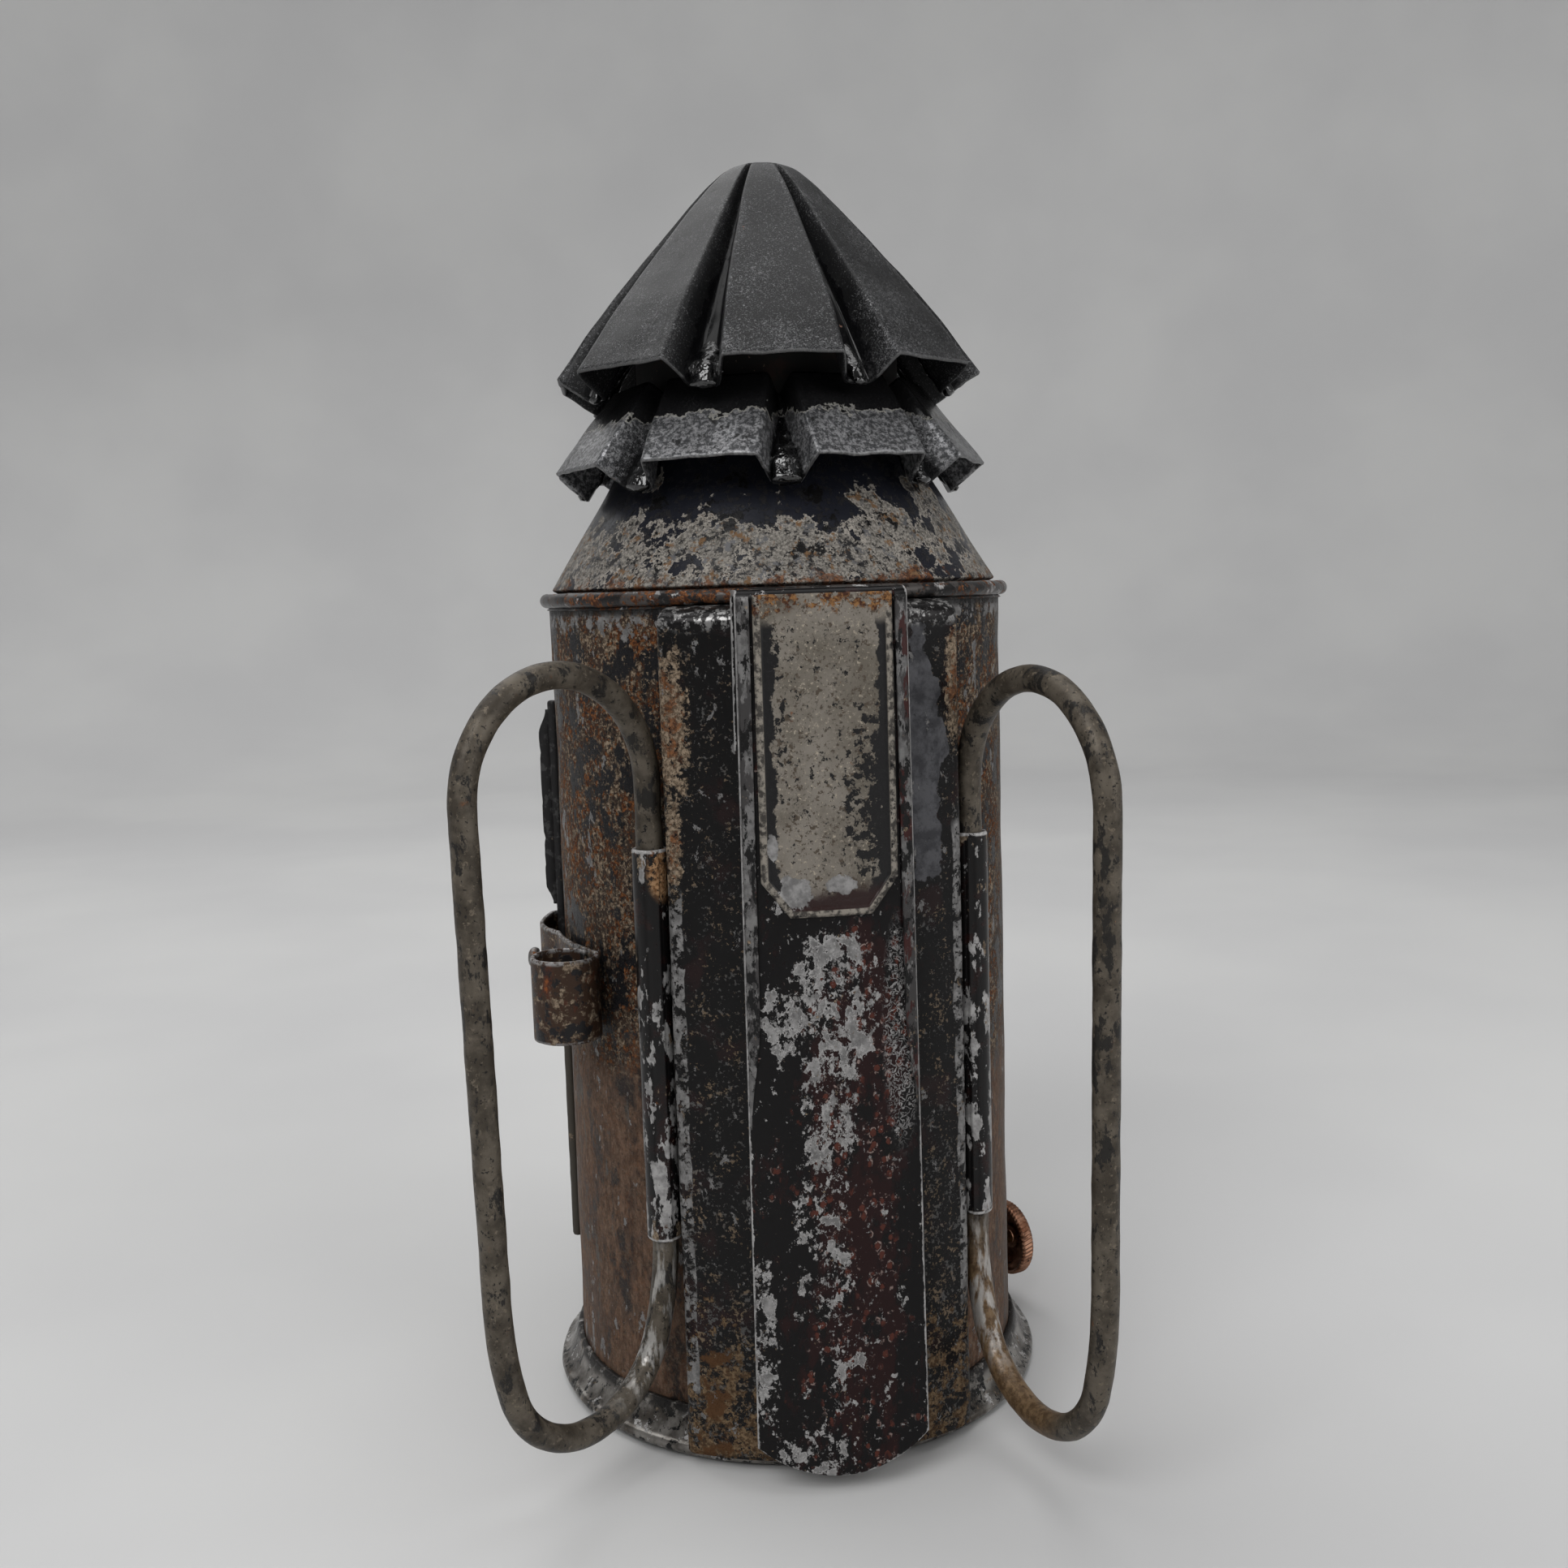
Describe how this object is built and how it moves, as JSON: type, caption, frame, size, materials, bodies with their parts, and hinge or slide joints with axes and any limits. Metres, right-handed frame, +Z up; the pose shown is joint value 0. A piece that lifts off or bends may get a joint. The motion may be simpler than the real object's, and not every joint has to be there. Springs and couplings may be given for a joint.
{
  "type": "bullseye hand lantern",
  "caption": "Round tinplate bullseye lantern with a pleated turning chimney, a lens door, a belt hook and two folding wire grips.",
  "frame": {"origin": "centre of the resting face under the base", "axes": "+Z up along the body, +Y towards the belt hook at the back, -Y towards the lens"},
  "size_m": [0.0993, 0.1326, 0.205],
  "materials": {
    "rusted_tinplate": "worn black paint over rust-brown tinplate",
    "japanned_tinplate": "chipped black japan with bare grey and red-brown spots",
    "bare_tinplate": "worn, dull grey-beige bare tinplate",
    "chimney_black": "satin black with a fine grey speckle and worn edges",
    "handle_wire": "dull olive-brown oxidised steel wire",
    "rusted_spring": "dark red-brown rust",
    "brass": "dull, tarnished",
    "knob_copper": "pinkish copper-brass, worn bright on the knurl",
    "lens_glass": "thick pressed glass, slightly green",
    "reflector_silver": "tarnished silvered tin",
    "wick_cotton": "woven flat cotton, charred at the top"
  },
  "bodies": {
    "lantern_body": {"body_shell": "rusted_tinplate", "top_bead": "rusted_tinplate", "base_pan": "japanned_tinplate", "base_flange": "bare_tinplate", "heat_shield": "japanned_tinplate", "belt_clip": "japanned_tinplate", "clip_plate": "bare_tinplate", "clip_rivets": "handle_wire", "handle_sleeve_left": "japanned_tinplate", "handle_sleeve_right": "japanned_tinplate", "body_knuckles": "japanned_tinplate", "hinge_pin": "handle_wire", "oil_font": "bare_tinplate", "font_filler_cap": "brass", "burner_collar": "brass", "wick_tube": "brass", "spindle_bush": "brass", "reflector": "reflector_silver", "reflector_stem": "bare_tinplate"},
    "door": {"door_panel": "japanned_tinplate", "door_edge": "bare_tinplate", "door_knuckles": "japanned_tinplate", "lens_barrel": "japanned_tinplate", "lens_bezel": "brass", "lens": "lens_glass", "lens_retainer": "brass"},
    "catch": {"catch_strap": "rusted_spring", "catch_stud": "handle_wire"},
    "chimney": {"shoulder_cone": "japanned_tinplate", "neck_tube": "chimney_black", "lower_pleat_ring": "chimney_black", "upper_pleat_cap": "chimney_black", "cap_legs": "chimney_black", "dark_shutter": "chimney_black"},
    "left_handle": {"handle_left": "handle_wire"},
    "right_handle": {"handle_right": "handle_wire"},
    "winder": {"winder_spindle": "brass", "star_wheels": "brass", "wick_knob": "knob_copper"},
    "wick": {"wick": "wick_cotton"}
  },
  "joints": [
    {"name": "chimney_turn", "type": "hinge", "parent": "lantern_body", "child": "chimney", "pos_m": [0, 0, 0.136], "axis": [0, 0, 1], "range_deg": [0, 90]},
    {"name": "door_swing", "type": "hinge", "parent": "lantern_body", "child": "door", "pos_m": [-0.03874, -0.01111, 0.068], "axis": [0, 0, -1], "range_deg": [0, 110]},
    {"name": "catch_spring", "type": "hinge", "parent": "door", "child": "catch", "pos_m": [0.0342, -0.02055, 0.07235], "axis": [0, 0, -1], "range_deg": [0, 8], "stiffness_Nm_per_rad": 0.5},
    {"name": "left_handle_swing", "type": "hinge", "parent": "lantern_body", "child": "left_handle", "pos_m": [0.02474, 0.03319, 0.0665], "axis": [0, 0, 1], "range_deg": [-88, 34]},
    {"name": "right_handle_swing", "type": "hinge", "parent": "lantern_body", "child": "right_handle", "pos_m": [-0.02474, 0.03319, 0.0665], "axis": [0, 0, 1], "range_deg": [-3.5, 119]},
    {"name": "winder_turn", "type": "hinge", "parent": "lantern_body", "child": "winder", "pos_m": [-0.04386, -0.01107, 0.0114], "axis": [-0.9397, -0.342, 0], "range_deg": [-60, 90]},
    {"name": "wick_lift", "type": "slide", "parent": "lantern_body", "child": "wick", "axis": [0, 0, 1], "range_m": [-0.0042, 0.0063]}
  ],
  "couplings": [
    {"joint": "wick_lift", "follows": "winder_turn", "m_per_rad": 0.0038}
  ]
}
